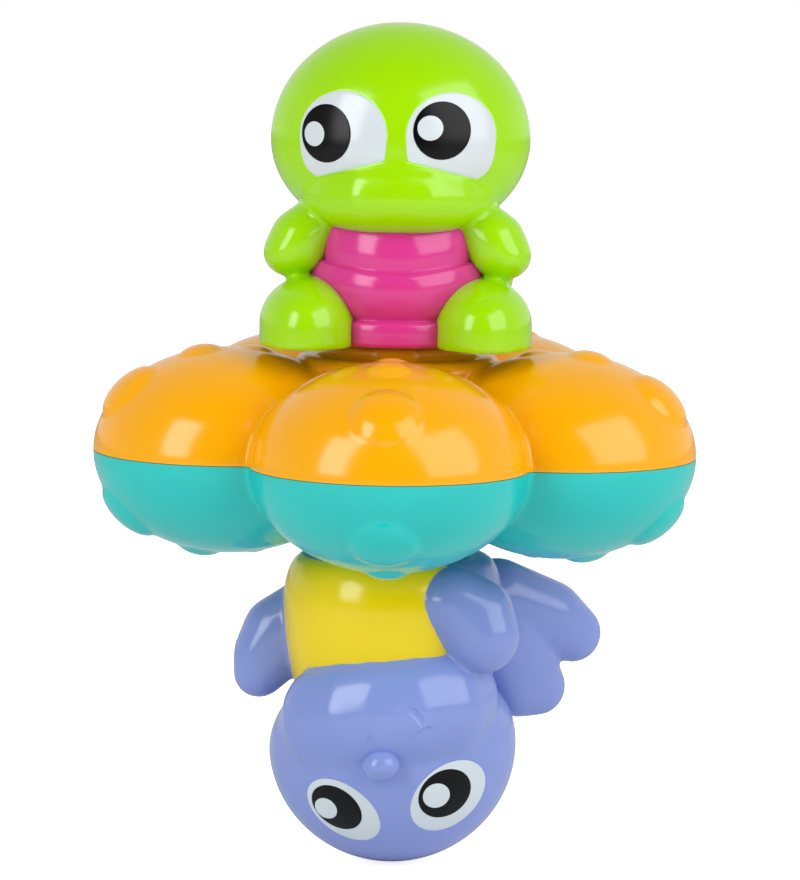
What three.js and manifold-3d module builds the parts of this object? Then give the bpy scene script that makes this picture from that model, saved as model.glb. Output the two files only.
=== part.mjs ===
// Two-sided bath toy: a sitting turtle and, upside down below it, a seal pup, each turning on a
// five-lobed flower float. Millimetres, +Z up, the float's seam on the plane z = 0, its front lobe
// and the turtle's face towards -Y.
import * as THREE from 'three';
import { mergeVertices } from 'three/addons/utils/BufferGeometryUtils.js';
import Module from 'manifold-3d';

const wasm = await Module();
wasm.setup();

// Fits and walls
const CLEARANCE = 0.3;
const WALL = 2.2;
const REACH = 200;

// Flower float
const LOBE_COUNT = 5;
const LOBE_RING = 39.7;
const LOBE_RADIUS = 31.5;
const LOBE_HEIGHT = 23.6;
const HUB_RADIUS = 24;
const HUB_ROUND = 2.5;
const HUB_WALL = 3;
const TONGUE_HEIGHT = 2.5;
const TONGUE_ROOT = 4;
const TONGUE_WALL = 1.4;
const TONGUE_FIT = 0.5;

// Raised dots on every lobe: angle from the crest, outwards, then radius and rise
const OUTER_DOT = { angle: 49, radius: 7.5, rise: 1.9 };
const MIDDLE_DOT = { angle: 13.4, radius: 5, rise: 1.3 };
const INNER_DOT = { angle: -11.4, radius: 4, rise: 0.9 };
const DOT_SINK = 1;

// Swivel between the float and each figure
const RUNNING_GAP = 0.5;
const THRUST_WASHER = 2.9;
const THRUST_RADIUS = 11;
const NECK_RADIUS = 6;
const COLLAR_RADIUS = 10.5;
const SEAL_SECTION = 0.9;
const SEAL_LAND = 0.8;
const BASE_RADIUS = 15;
const BASE_LIP = 1.5;
const FLANGE_RADIUS = 17.5;
const FLANGE_FLAT = 15.8;
const BASE_THICKNESS = 3.6;
const WELL_RADIUS = 14;
const WELL_HEIGHT = 16;
const RETAINER_RADIUS = 10;
const RETAINER_THICKNESS = 1.5;

// Screws
const PIVOT_SCREW = { head: 3.6, height: 2.4, shank: 1.4, length: 13 };
const CASE_SCREW = { head: 2.8, height: 2, shank: 1.2, length: 14 };
const SLOT_WIDTH = 0.8;
const BOSS_WALL = 1.4;
const BOSS_SEAT = 6;
const PILOT_SPARE = 1.5;

// Inserts
const EYE_DEPTH = 1;
const PLATE_DEPTH = 2.2;
const PLATE_BACK = 3;

// Turtle, heights measured from its flat bottom. A torso is [radius, height] pairs, and its depth against its width
const TURTLE_SPLIT = -4;
const TURTLE_HEAD = { at: [0, 0, 46.2], radii: [30, 27, 26.9], below: 23.5 };
const TURTLE_MUZZLE = { at: [0, -14.5, 34.9], radii: [23.5, 16.4, 8.6] };
const TURTLE_TORSO = {
  profile: [[20.5, -1], [21.4, 3.2], [20, 6.3], [22.2, 10.5], [22.5, 14.5], [20.6, 17.6], [20.9, 22.5],
    [17.5, 30.5]],
  depth: 1.2,
};
const TURTLE_SHELL = { at: [0, 9, 19], radii: [27, 22, 21.5], below: 27 };
const TURTLE_ARM = { at: [21.8, -10.3, 24.2], radii: [6.8, 9, 11.6], lean: 44 };
const TURTLE_LEG = { at: [19.9, -15.5, 5], radii: [11.2, 16.5, 10.6], below: 14 };
const TURTLE_EYE = { at: [12.2, 48.5], half: [10, 9.6], cheek: 43, tip: [17.6, 38.6], corner: [3.6, 42.6] };
const TURTLE_BOSSES = [[0, 53], [11, 12.5], [-11, 12.5]];

// Seal pup, built upright from its flat bottom, then turned upside down
const SEAL_SPLIT = 0;
const SEAL_HEADING = -3;
const SEAL_BODY_TURN = 30;
const SEAL_HEAD_TILT = -6.7;
const SEAL_HEAD = { at: [0, 0, 45], radii: [29, 27, 28], below: 21 };
const SEAL_CHEEK = { at: [9.2, -16.6, 33], radii: [12.8, 12.6, 11.3] };
const SEAL_NOSE = { at: [0, -28.4, 44], radii: [4.3, 3.8, 3.6] };
const SEAL_TORSO = {
  profile: [[19, -0.6], [23.3, 1.5], [25.5, 6.5], [26, 11], [25.2, 22], [22.8, 32], [18, 42]],
  depth: 0.96,
};
const SEAL_APRON = { right: -17, left: 23, top: 34, flare: -20, bend: [20, 14] };
const SEAL_LEFT_ARM = { at: [26, 1, 22], radii: [8.6, 7.2, 16.5], lean: 41 };
const SEAL_RIGHT_ARM = { at: [-18.8, -16.5, 12.5], radii: [9.4, 8.5, 14], lean: -41 };
const SEAL_EYE = { left: [10.5, 56], right: [-13.7, 55], half: [9.7, 6.7], slant: 42 };
const SEAL_BOSSES = [[0, 53], [12, 15], [-12, 15]];
const TAIL_HEADING = -118;
const TAIL_ROOT = { at: [27, 0, 19.5], radii: [10, 7.5, 15.5] };
const TAIL_OUTER_LOBE = { at: [38.5, 0, 17.6], radii: [15.4, 6.5, 10.4], lean: -22 };
const TAIL_INNER_LOBE = { at: [33.2, 0, 28.6], radii: [10.8, 6.5, 12.6] };

// Heights that follow from the sizes above
const FIGURE_Z = LOBE_HEIGHT + INNER_DOT.rise + RUNNING_GAP;
const HUB_HEIGHT = FIGURE_Z - THRUST_WASHER - 2 * CLEARANCE;
const NECK_TOP = FIGURE_Z + BASE_THICKNESS + CLEARANCE;

// Mesh fineness: points around, points from pole to pole
const FINE = [18, 12];
const LOBE_FINE = [16, 10];
const MEDIUM = [12, 8];
const COARSE = [8, 6];
const DOT_FINE = [8, 4];
const ROUND = 16;

const radians = THREE.MathUtils.degToRad;

// Materials
const plastic = (colour) => new THREE.MeshStandardMaterial({ color: colour, roughness: 0.22, metalness: 0 });
const LIME = plastic(0xa6e400);
const PINK = plastic(0xe0409a);
const ORANGE = plastic(0xffb018);
const TEAL = plastic(0x35c9c6);
const LAVENDER = plastic(0x8c9cdc);
const YELLOW = plastic(0xf0da00);
const WHITE = plastic(0xe4ecee);
const ACETAL = new THREE.MeshStandardMaterial({ color: 0x2a2b2d, roughness: 0.4, metalness: 0 });
const RUBBER = new THREE.MeshStandardMaterial({ color: 0x222326, roughness: 0.75, metalness: 0 });
const STEEL = new THREE.MeshStandardMaterial({ color: 0xb9bcc0, roughness: 0.3, metalness: 1 });

// Solids and meshes
function solid(geometry) {
  geometry.deleteAttribute('normal');
  geometry.deleteAttribute('uv');
  const merged = mergeVertices(geometry, 1e-4);
  const corners = [];
  for (let i = 0; i < merged.index.count; i += 3) {
    const [a, b, c] = [0, 1, 2].map((k) => merged.index.getX(i + k));
    if (a !== b && b !== c && c !== a) corners.push(a, b, c);
  }
  const vertProperties = new Float32Array(merged.attributes.position.array);
  return new wasm.Manifold(new wasm.Mesh({ numProp: 3, vertProperties, triVerts: new Uint32Array(corners) }));
}

function mesh(name, body, material) {
  const { vertProperties, triVerts } = body.getMesh();
  const geometry = new THREE.BufferGeometry();
  geometry.setAttribute('position', new THREE.BufferAttribute(vertProperties, 3));
  geometry.setIndex(new THREE.BufferAttribute(triVerts, 1));
  geometry.computeVertexNormals();
  const piece = new THREE.Mesh(geometry, material);
  piece.name = name;
  return piece;
}

const join = (bodies) => bodies.reduce((whole, body) => whole.add(body));

// A body turned about one axis through a point of the upright axis, in degrees
function turnedAbout(body, axis, degrees, height = 0) {
  const { geometry } = mesh('turned', body);
  const turn = { y: 'rotateY', z: 'rotateZ' }[axis];
  geometry.translate(0, 0, -height)[turn](radians(degrees)).translate(0, 0, height);
  const { attributes: { position }, index } = geometry;
  return new wasm.Manifold(new wasm.Mesh({ numProp: 3, vertProperties: position.array, triVerts: index.array }));
}

// An ellipsoid whose lower half may have its own depth, grown or shrunk all round
function ellipsoid({ at, radii, below = radii[2], lean = 0, turn = 0 }, [around, rows], grow = 0) {
  const geometry = new THREE.SphereGeometry(1, around, rows).rotateX(Math.PI / 2);
  const points = geometry.attributes.position;
  for (let i = 0; i < points.count; i += 1) {
    const depth = points.getZ(i) < 0 ? below : radii[2];
    points.setXYZ(i, points.getX(i) * (radii[0] + grow), points.getY(i) * (radii[1] + grow),
      points.getZ(i) * (depth + grow));
  }
  return solid(geometry.rotateY(radians(lean)).rotateZ(radians(turn)).translate(...at));
}

function mirrored(form, side) {
  const [x, y, z] = form.at;
  return { ...form, at: [side * x, y, z], lean: -side * (form.lean ?? 0) };
}

function box(low, high) {
  const size = high.map((value, i) => value - low[i]);
  const middle = high.map((value, i) => (value + low[i]) / 2);
  return solid(new THREE.BoxGeometry(...size).translate(...middle));
}

// A solid of revolution about Z from [radius, height] pairs
function turned(profile, sides = ROUND, depth = 1) {
  const points = profile.map(([radius, height]) => new THREE.Vector2(radius, height));
  return solid(new THREE.LatheGeometry(points, sides).rotateX(Math.PI / 2).scale(1, depth, 1));
}

const disc = (radius, low, high, sides = ROUND) => turned([[0, low], [radius, low], [radius, high], [0, high]], sides);

function ring(inner, outer, low, high) {
  return turned([[inner, low], [outer, low], [outer, high], [inner, high], [inner, low]]);
}

// A figure's barrel of a body, grown or shrunk all round
function barrel({ profile, depth }, grow = 0) {
  const around = profile.map(([radius, height]) => [radius + grow, height]);
  const [low, high] = [around[0][1], around.at(-1)[1]];
  return turned([[0, low], ...around, [0, high]], FINE[0], depth);
}

// A cylinder along Y through the point x, z
function rod(x, z, radius, near, far) {
  const geometry = new THREE.CylinderGeometry(radius, radius, far - near, ROUND / 2);
  return solid(geometry.translate(x, (near + far) / 2, z));
}

// A front-view outline carried straight back along Y
function prism(shape, near, far) {
  const geometry = new THREE.ExtrudeGeometry(shape, { depth: far - near, bevelEnabled: false, curveSegments: 5 });
  return solid(geometry.rotateX(Math.PI / 2).translate(0, far, 0));
}

// A pan-head screw with a cross recess, head at the top, seat at z = 0
function screw({ head, height, shank, length }) {
  const body = turned([[0, -length], [shank, -length], [shank, 0], [head, 0], [head, height * 0.55],
    [head * 0.7, height], [0, height]], ROUND / 2);
  const arm = head * 0.55;
  const floor = height * 0.45;
  return body.subtract(box([-arm, -SLOT_WIDTH / 2, floor], [arm, SLOT_WIDTH / 2, 2 * height]))
    .subtract(box([-SLOT_WIDTH / 2, -arm, floor], [SLOT_WIDTH / 2, arm, 2 * height]));
}

// Float
const lobeAngles = Array.from({ length: LOBE_COUNT }, (_, i) => i * 360 / LOBE_COUNT);

function lobes(fineness, grow) {
  return join(lobeAngles.map((turn) => {
    const angle = radians(turn);
    const at = [LOBE_RING * Math.sin(angle), -LOBE_RING * Math.cos(angle), 0];
    return ellipsoid({ at, radii: [LOBE_RADIUS, LOBE_RADIUS, LOBE_HEIGHT], turn }, fineness, grow);
  }));
}

// A low dome on the lobe's skin, square to it
function dot({ angle, radius, rise }, turn) {
  const out = LOBE_RADIUS * Math.sin(radians(angle));
  const up = LOBE_HEIGHT * Math.cos(radians(angle));
  const slope = Math.atan2(out / LOBE_RADIUS ** 2, up / LOBE_HEIGHT ** 2);
  const geometry = new THREE.SphereGeometry(1, ...DOT_FINE).rotateX(Math.PI / 2);
  geometry.scale(radius, radius, rise + DOT_SINK);
  geometry.translate(0, 0, -DOT_SINK).rotateX(slope).translate(0, -LOBE_RING - out, up);
  return solid(geometry.rotateZ(radians(turn)));
}

function floatHalf() {
  const dots = lobeAngles.flatMap((turn) => [OUTER_DOT, MIDDLE_DOT, INNER_DOT].map((kind) => dot(kind, turn)));
  const hub = turned([[0, 0], [HUB_RADIUS, 0], [HUB_RADIUS, HUB_HEIGHT - HUB_ROUND],
    [HUB_RADIUS - HUB_ROUND * 0.3, HUB_HEIGHT - HUB_ROUND * 0.3], [HUB_RADIUS - HUB_ROUND, HUB_HEIGHT],
    [0, HUB_HEIGHT]], 2 * ROUND);
  const cavity = lobes(COARSE, -WALL).add(disc(HUB_RADIUS - WALL, -WALL, HUB_HEIGHT - HUB_WALL));
  const bore = disc(NECK_RADIUS + CLEARANCE, 0, REACH);
  const above = box([-REACH, -REACH, CLEARANCE / 2], [REACH, REACH, REACH]);
  return join([lobes(LOBE_FINE, 0), hub, ...dots]).subtract(cavity).subtract(bore).intersect(above);
}

// The locating tongue stands inside the wall of the half that carries it
function tongue() {
  const slab = (low, high) => box([-REACH, -REACH, low], [REACH, REACH, high]);
  const inside = lobes(COARSE, -WALL - TONGUE_FIT - TONGUE_WALL).add(disc(LOBE_RING, -REACH, REACH));
  const stem = lobes(COARSE, -WALL - TONGUE_FIT).intersect(slab(-TONGUE_ROOT, TONGUE_HEIGHT));
  const root = lobes(COARSE, -WALL / 2).intersect(slab(-TONGUE_ROOT, -CLEARANCE / 2));
  return stem.add(root).subtract(inside);
}

function floatShells() {
  const half = floatHalf();
  const lower = turnedAbout(half, 'y', 180).add(tongue());
  return [mesh('float_upper_shell', half, ORANGE), mesh('float_lower_shell', lower, TEAL)];
}

// One spindle joins the two hubs; its collars bear on the hubs from inside
function spindle() {
  const collar = HUB_HEIGHT - HUB_WALL - CLEARANCE;
  const pilot = PIVOT_SCREW.shank + CLEARANCE;
  const pilotEnd = NECK_TOP - PIVOT_SCREW.length - PILOT_SPARE;
  const grooveIn = NECK_RADIUS + SEAL_LAND;
  const grooveOut = grooveIn + 2 * (SEAL_SECTION + CLEARANCE);
  const grooveFloor = collar - 2 * SEAL_SECTION - CLEARANCE;
  const upper = [[0, pilotEnd], [pilot, pilotEnd], [pilot, NECK_TOP], [NECK_RADIUS, NECK_TOP],
    [NECK_RADIUS, collar], [grooveIn, collar], [grooveIn, grooveFloor], [grooveOut, grooveFloor],
    [grooveOut, collar], [COLLAR_RADIUS, collar]];
  const lower = upper.map(([radius, height]) => [radius, -height]);
  return mesh('float_spindle', turned([...lower, ...upper.reverse()]), ACETAL);
}

function pivotPieces(side) {
  const retainer = NECK_TOP + CLEARANCE;
  const seat = retainer + RETAINER_THICKNESS + CLEARANCE;
  const sealZ = HUB_HEIGHT - HUB_WALL - CLEARANCE - SEAL_SECTION;
  const sealRing = NECK_RADIUS + SEAL_LAND + SEAL_SECTION + CLEARANCE;
  const torus = new THREE.TorusGeometry(sealRing, SEAL_SECTION, 6, ROUND).translate(0, 0, sealZ);
  const thrustLow = HUB_HEIGHT + CLEARANCE;
  const washerBore = NECK_RADIUS + CLEARANCE;
  const pivotScrew = mesh(`${side}_pivot_screw`, screw(PIVOT_SCREW), STEEL);
  pivotScrew.position.z = seat;
  return [
    pivotScrew,
    mesh(`${side}_spindle_seal`, solid(torus), RUBBER),
    mesh(`${side}_thrust_washer`, ring(washerBore, THRUST_RADIUS, thrustLow, thrustLow + THRUST_WASHER), ACETAL),
    mesh(`${side}_retaining_washer`, ring(PIVOT_SCREW.shank + CLEARANCE, RETAINER_RADIUS, retainer,
      retainer + RETAINER_THICKNESS), STEEL),
  ];
}

// All that lies in front of a plane and above a floor
const ahead = (plane, floor) => box([-REACH, -REACH, floor], [REACH, plane, REACH]);

// Pieces that both figures have
function baseDisc(grow) {
  const flats = box([-FLANGE_FLAT - grow, -REACH, 0], [FLANGE_FLAT + grow, REACH, REACH]);
  const flange = disc(FLANGE_RADIUS + grow, BASE_LIP + CLEARANCE - grow, BASE_THICKNESS + grow).intersect(flats);
  return disc(BASE_RADIUS + grow, -grow, BASE_THICKNESS + grow).add(flange);
}

function baseMesh(name, material) {
  return mesh(name, baseDisc(0).subtract(disc(NECK_RADIUS + CLEARANCE, -REACH, REACH)), material);
}

// Splits a figure into a front and a back half, hollows it and gives it screw bosses
function clamshell(outer, cavity, split, bosses) {
  const shank = CASE_SCREW.shank + CLEARANCE;
  const socket = CASE_SCREW.head + CLEARANCE;
  const pilotEnd = split + BOSS_SEAT - CASE_SCREW.length - PILOT_SPARE;
  const posts = join(bosses.map(([x, z]) => rod(x, z, socket + BOSS_WALL, -REACH, REACH))).intersect(outer);
  const well = disc(WELL_RADIUS, 0, WELL_HEIGHT);
  const body = outer.subtract(cavity.add(well)).add(posts).subtract(baseDisc(CLEARANCE)).subtract(well);
  const pilots = join(bosses.map(([x, z]) => rod(x, z, shank, pilotEnd, REACH)));
  const sockets = join(bosses.map(([x, z]) => rod(x, z, socket, split + BOSS_SEAT, REACH)));
  const frontSide = box([-REACH, -REACH, 0], [REACH, split - CLEARANCE / 2, REACH]);
  const backSide = box([-REACH, split + CLEARANCE / 2, 0], [REACH, REACH, REACH]);
  const drilled = body.subtract(pilots);
  return { front: drilled.intersect(frontSide), back: drilled.intersect(backSide).subtract(sockets) };
}

function caseScrews(name, split, bosses) {
  const seat = split + BOSS_SEAT + CLEARANCE;
  return bosses.map(([x, z], i) => {
    const piece = mesh(`${name}_case_screw_${i + 1}`, screw(CASE_SCREW), STEEL);
    piece.rotation.x = -Math.PI / 2;
    piece.position.set(x, seat, z);
    return piece;
  });
}

// An insert let into a form's skin: the pocket it leaves and the piece that fills it
function inlay(outline, fitOutline, form, depth) {
  const pocket = prism(outline, -REACH, 0).subtract(form(-depth - CLEARANCE));
  const piece = prism(fitOutline, -REACH, 0).intersect(form(0)).subtract(form(-depth));
  return { pocket, piece };
}

// Turtle
// The eye is round above and has a straight, sloping lower edge along the muzzle
function turtleEye(side, grow) {
  const { at: [across, up], half: [wide, tall], cheek, tip, corner } = TURTLE_EYE;
  const inner = side * (across - wide - grow);
  const outer = side * (across + wide + grow);
  const [from, to] = side > 0 ? [Math.PI, 0] : [0, Math.PI];
  const shape = new THREE.Shape();
  shape.moveTo(side * corner[0], corner[1] - grow);
  shape.quadraticCurveTo(inner, corner[1] - grow, inner, up);
  shape.absellipse(side * across, up, wide + grow, tall + grow, from, to, side > 0);
  shape.quadraticCurveTo(outer, cheek - grow, side * tip[0], tip[1] - grow);
  shape.closePath();
  return shape;
}

function turtle() {
  const head = (grow) => ellipsoid(TURTLE_HEAD, FINE, grow);
  const muzzle = (grow) => ellipsoid(TURTLE_MUZZLE, MEDIUM, grow);
  const torso = (grow) => barrel(TURTLE_TORSO, grow);
  const limbs = (grow) => join([1, -1].flatMap((side) => [
    ellipsoid(mirrored(TURTLE_ARM, side), MEDIUM, grow),
    ellipsoid(mirrored(TURTLE_LEG, side), MEDIUM, grow),
  ]));
  const carapace = (grow) => ellipsoid(TURTLE_SHELL, MEDIUM, grow);
  const eyes = [1, -1].map((side) => inlay(turtleEye(side, 0), turtleEye(side, -CLEARANCE), head, EYE_DEPTH));
  const plateBack = TURTLE_SPLIT - PLATE_BACK;
  const pocket = ahead(plateBack + CLEARANCE, -REACH).subtract(torso(-PLATE_DEPTH - CLEARANCE));
  const plate = torso(0).subtract(torso(-PLATE_DEPTH)).intersect(ahead(plateBack, CLEARANCE));
  const face = head(0).subtract(eyes[0].pocket).subtract(eyes[1].pocket);
  const outer = join([torso(0).subtract(pocket), face, muzzle(0), limbs(0), carapace(0)]);
  const cavity = join([
    ellipsoid(TURTLE_HEAD, COARSE, -WALL),
    ellipsoid(TURTLE_SHELL, COARSE, -WALL),
    barrel(TURTLE_TORSO, -PLATE_DEPTH - CLEARANCE - WALL),
    ...[1, -1].map((side) => ellipsoid(mirrored(TURTLE_LEG, side), COARSE, -WALL)),
  ]).subtract(box([-REACH, -REACH, -REACH], [REACH, REACH, WALL]));
  const { front, back } = clamshell(outer, cavity, TURTLE_SPLIT, TURTLE_BOSSES);
  const around = join([head, muzzle, limbs, carapace, baseDisc].map((form) => form(CLEARANCE)));
  return [
    mesh('turtle_front_shell', front, LIME),
    mesh('turtle_back_shell', back, LIME),
    baseMesh('turtle_base', LIME),
    mesh('turtle_belly_plate', plate.subtract(around), PINK),
    mesh('turtle_left_eye', eyes[0].piece.subtract(muzzle(CLEARANCE)), WHITE),
    mesh('turtle_right_eye', eyes[1].piece.subtract(muzzle(CLEARANCE)), WHITE),
    ...caseScrews('turtle', TURTLE_SPLIT, TURTLE_BOSSES),
  ];
}

// Seal pup
function sealEye(side, grow) {
  const [long, short] = SEAL_EYE.half;
  const [across, up] = side > 0 ? SEAL_EYE.left : SEAL_EYE.right;
  const shape = new THREE.Shape();
  const slant = radians(side > 0 ? 180 - SEAL_EYE.slant : SEAL_EYE.slant);
  shape.absellipse(across, up, long + grow, short + grow, 0, 2 * Math.PI, false, slant);
  return shape;
}

function sealApron(grow) {
  const { top, bend } = SEAL_APRON;
  const [right, left, flare] = [SEAL_APRON.right - grow, SEAL_APRON.left + grow, SEAL_APRON.flare - grow];
  const shape = new THREE.Shape();
  shape.moveTo(right, -BASE_LIP);
  shape.lineTo(left, -BASE_LIP);
  shape.lineTo(left, top);
  shape.lineTo(flare, top);
  shape.bezierCurveTo(flare, bend[0], right, bend[1], right, -BASE_LIP);
  return shape;
}

// The tail fin stands on edge beside the body: a root and two round lobes with a notch between them
function tailFin(grow) {
  const forms = [TAIL_ROOT, TAIL_OUTER_LOBE, TAIL_INNER_LOBE].map((form) => ellipsoid(form, MEDIUM, grow));
  return turnedAbout(join(forms), 'z', TAIL_HEADING - 90);
}

function seal() {
  const tilt = (body) => turnedAbout(body, 'y', SEAL_HEAD_TILT, SEAL_HEAD.at[2]);
  const upright = (grow) => ellipsoid(SEAL_HEAD, FINE, grow);
  const head = (grow) => tilt(upright(grow));
  const torso = (grow) => barrel(SEAL_TORSO, grow);
  const snout = (grow) => tilt(join([
    ...[1, -1].map((side) => ellipsoid(mirrored(SEAL_CHEEK, side), MEDIUM, grow)),
    ellipsoid(SEAL_NOSE, COARSE, grow),
  ]));
  const arms = (grow) => join([SEAL_LEFT_ARM, SEAL_RIGHT_ARM].map((arm) => ellipsoid(arm, MEDIUM, grow)));
  const eyes = [1, -1].map((side) => {
    const { pocket, piece } = inlay(sealEye(side, 0), sealEye(side, -CLEARANCE), upright, EYE_DEPTH);
    return { pocket: tilt(pocket), piece: tilt(piece) };
  });
  const turn = (body) => turnedAbout(body, 'z', SEAL_BODY_TURN);
  const flatApron = inlay(sealApron(0), sealApron(-CLEARANCE), torso, PLATE_DEPTH);
  const apron = { pocket: turn(flatApron.pocket), piece: turn(flatApron.piece) };
  const face = head(0).subtract(eyes[0].pocket).subtract(eyes[1].pocket);
  const outer = join([torso(0).subtract(apron.pocket), face, snout(0), arms(0)]).subtract(tailFin(CLEARANCE));
  const cavity = join([
    ellipsoid(SEAL_HEAD, COARSE, -WALL),
    barrel(SEAL_TORSO, -PLATE_DEPTH - CLEARANCE - WALL),
  ]).subtract(box([-REACH, -REACH, -REACH], [REACH, REACH, WALL]));
  const { front, back } = clamshell(outer, cavity, SEAL_SPLIT, SEAL_BOSSES);
  const around = join([head, snout, arms, baseDisc].map((form) => form(CLEARANCE)));
  const plate = apron.piece.intersect(ahead(SEAL_SPLIT - CLEARANCE, CLEARANCE));
  return [
    mesh('seal_front_shell', front, LAVENDER),
    mesh('seal_back_shell', back, LAVENDER),
    baseMesh('seal_base', LAVENDER),
    mesh('seal_belly_plate', plate.subtract(around), YELLOW),
    mesh('seal_tail_fin', tailFin(0), LAVENDER),
    mesh('seal_left_eye', eyes[0].piece.subtract(snout(CLEARANCE)), WHITE),
    mesh('seal_right_eye', eyes[1].piece.subtract(snout(CLEARANCE)), WHITE),
    ...caseScrews('seal', SEAL_SPLIT, SEAL_BOSSES),
  ];
}

// Assembly: the upper pivot and the turtle stand on the float, the lower pivot and the seal hang under it
function placed(pieces, height, heading, inverted) {
  const flip = new THREE.Group();
  flip.add(...pieces);
  flip.position.z = inverted ? -height : height;
  flip.rotation.y = inverted ? Math.PI : 0;
  const group = new THREE.Group();
  group.add(flip);
  group.rotation.z = radians(heading);
  return group;
}

const toy = new THREE.Group();
toy.add(...floatShells(), spindle());
toy.add(placed(pivotPieces('upper'), 0, 0, false));
toy.add(placed(pivotPieces('lower'), 0, 0, true));
toy.add(placed(turtle(), FIGURE_Z, 0, false));
toy.add(placed(seal(), FIGURE_Z, SEAL_HEADING, true));

export default toy;
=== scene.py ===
"""Looks of a two-sided bath toy: a turtle and an upside-down seal pup that turn on a flower-shaped float.

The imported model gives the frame, the bodies and the fixed hardware. The operators below model the moulded skins,
bellies, eyes and prints over it, give every surface its finish and set the stage for the photograph's view.
"""
import math

import bpy
from bpy.props import FloatProperty, FloatVectorProperty, PointerProperty
from mathutils import Matrix, Vector


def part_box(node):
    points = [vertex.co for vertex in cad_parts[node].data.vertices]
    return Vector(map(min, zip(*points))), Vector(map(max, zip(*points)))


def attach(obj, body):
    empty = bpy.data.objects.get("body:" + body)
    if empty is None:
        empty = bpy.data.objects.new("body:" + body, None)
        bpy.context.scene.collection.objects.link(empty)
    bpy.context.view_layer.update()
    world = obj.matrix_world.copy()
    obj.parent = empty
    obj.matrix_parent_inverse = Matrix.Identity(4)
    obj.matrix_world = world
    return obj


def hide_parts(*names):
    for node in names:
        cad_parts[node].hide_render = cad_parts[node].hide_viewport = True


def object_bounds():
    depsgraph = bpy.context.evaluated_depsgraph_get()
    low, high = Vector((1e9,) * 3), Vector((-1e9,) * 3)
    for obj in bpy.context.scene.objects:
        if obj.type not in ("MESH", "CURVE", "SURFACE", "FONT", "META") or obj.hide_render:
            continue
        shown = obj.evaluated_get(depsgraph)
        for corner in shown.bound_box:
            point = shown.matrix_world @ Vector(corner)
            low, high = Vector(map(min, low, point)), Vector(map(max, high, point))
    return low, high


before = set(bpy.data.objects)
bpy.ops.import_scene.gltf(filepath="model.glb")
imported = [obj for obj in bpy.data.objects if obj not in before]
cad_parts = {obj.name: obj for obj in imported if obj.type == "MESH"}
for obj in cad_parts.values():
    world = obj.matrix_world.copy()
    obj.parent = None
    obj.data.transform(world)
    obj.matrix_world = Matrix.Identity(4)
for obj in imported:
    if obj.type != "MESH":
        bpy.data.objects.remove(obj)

bl_info = {
    "name": "Two-sided Bath Toy",
    "version": (1, 0, 0),
    "blender": (4, 5, 0),
    "location": "View3D > Sidebar > Bath Toy",
    "description": "Models the skins, bellies, eyes and finishes of a turtle and seal bath toy over its CAD frame",
    "category": "Object",
}

CAD_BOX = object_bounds()
MM = 0.001

# The flat bottom of each figure and the top of the float's hub, read from the frame
WASHER_CLEARANCE = 0.3
FIGURE_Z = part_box("turtle_base")[0][2] / MM
HUB_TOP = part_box("upper_thrust_washer")[0][2] / MM - WASHER_CLEARANCE

# Farther out than any part of a figure, in millimetres
OUTSIDE = 60

# Float forms, in millimetres from the float's centre
LOBE_COUNT = 5
LOBE_RING = 39.7
LOBE_RADII = (31.5, 31.5, 23.6)
HUB_RADIUS = 24
DOTS = (
    {"angle": 51.5, "radius": 8.2, "rise": 2.1},
    {"angle": 13.4, "radius": 6.0, "rise": 1.4},
    {"angle": -11.4, "radius": 5.0, "rise": 0.9},
)
DOT_SINK = 2.0

# Turtle forms, in millimetres from the middle of its flat bottom
TURTLE_SPLIT = -4
TURTLE_HEAD = {"at": (0, 0, 46.2), "radii": (30, 27, 26.9), "below": 23.5}
TURTLE_MUZZLE = (
    {"at": (0, -22.3, 34.6), "radii": (8, 7.6, 8.6)},
    {"at": (6, -21.4, 34.5), "radii": (8, 7.6, 8.5)},
    {"at": (11, -18, 34.2), "radii": (7.6, 7.2, 7.9)},
    {"at": (15.5, -13, 33.8), "radii": (6.5, 6.5, 6)},
)
TURTLE_NECK = {"at": (0, 3, 26), "radii": (18, 15, 14)}
TURTLE_SHELL = {"at": (0, 9, 19), "radii": (27, 22, 21.5), "below": 27}
TURTLE_ARM = (
    {"at": (17.6, -9.5, 28.0), "radii": (6.2, 8, 6.2)},
    {"at": (22.4, -10.8, 24.0), "radii": (6.8, 8.8, 6.7)},
    {"at": (24.7, -11.5, 20.7), "radii": (6.1, 7.8, 5.7)},
    {"at": (21.3, -11.5, 21.0), "radii": (5, 7.5, 5.2)},
)
TURTLE_LEG = (
    {"at": (19.9, -15.5, 5), "radii": (11.2, 16.5, 10.6)},
    {"at": (19.9, -15.5, 0.5), "radii": (11.2, 16.5, 9)},
)
TURTLE_FOOT = {"profile": ((24, 0), (25, 0.6), (25, 1.6), (24, 2.4)), "back": 6, "depth": 0.88}
TURTLE_BELLY_PROFILE = (
    (20.6, 0.2), (21.2, 1.0), (21.4, 3.5), (21.3, 5.2), (20.9, 5.9), (20.0, 6.2), (20.0, 6.5), (21.0, 7.6),
    (22.2, 10.5), (22.6, 13.5), (22.4, 15.7), (21.9, 16.8), (20.9, 17.3), (20.6, 17.7), (21.0, 19.5), (20.9, 22.5),
    (19.8, 26.5), (17.5, 30.5),
)
TURTLE_BELLY_DEPTH = 1.2
TURTLE_BELLY_WALL = 2.2
TURTLE_BELLY_HOLLOW = (-1, 40)
TURTLE_BELLY_BACK = TURTLE_SPLIT - 1
TURTLE_BAND_ROUND = 0.25
TURTLE_BAND_ANGLE = 20
TURTLE_BELLY_SAG = {"rise": 3.5, "width": 22, "from": 6, "to": 17}
TURTLE_EYE = {"at": (12.2, 48.5), "half": (10.0, 9.6), "below": 10.9, "tip": (17.6, 38.6), "corner": (3, 42.6)}
TURTLE_PUPILS = {1: (10.2, 49.6, 6.45, 6.55), -1: (-16.05, 48.45, 5.7, 6.6)}
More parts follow.
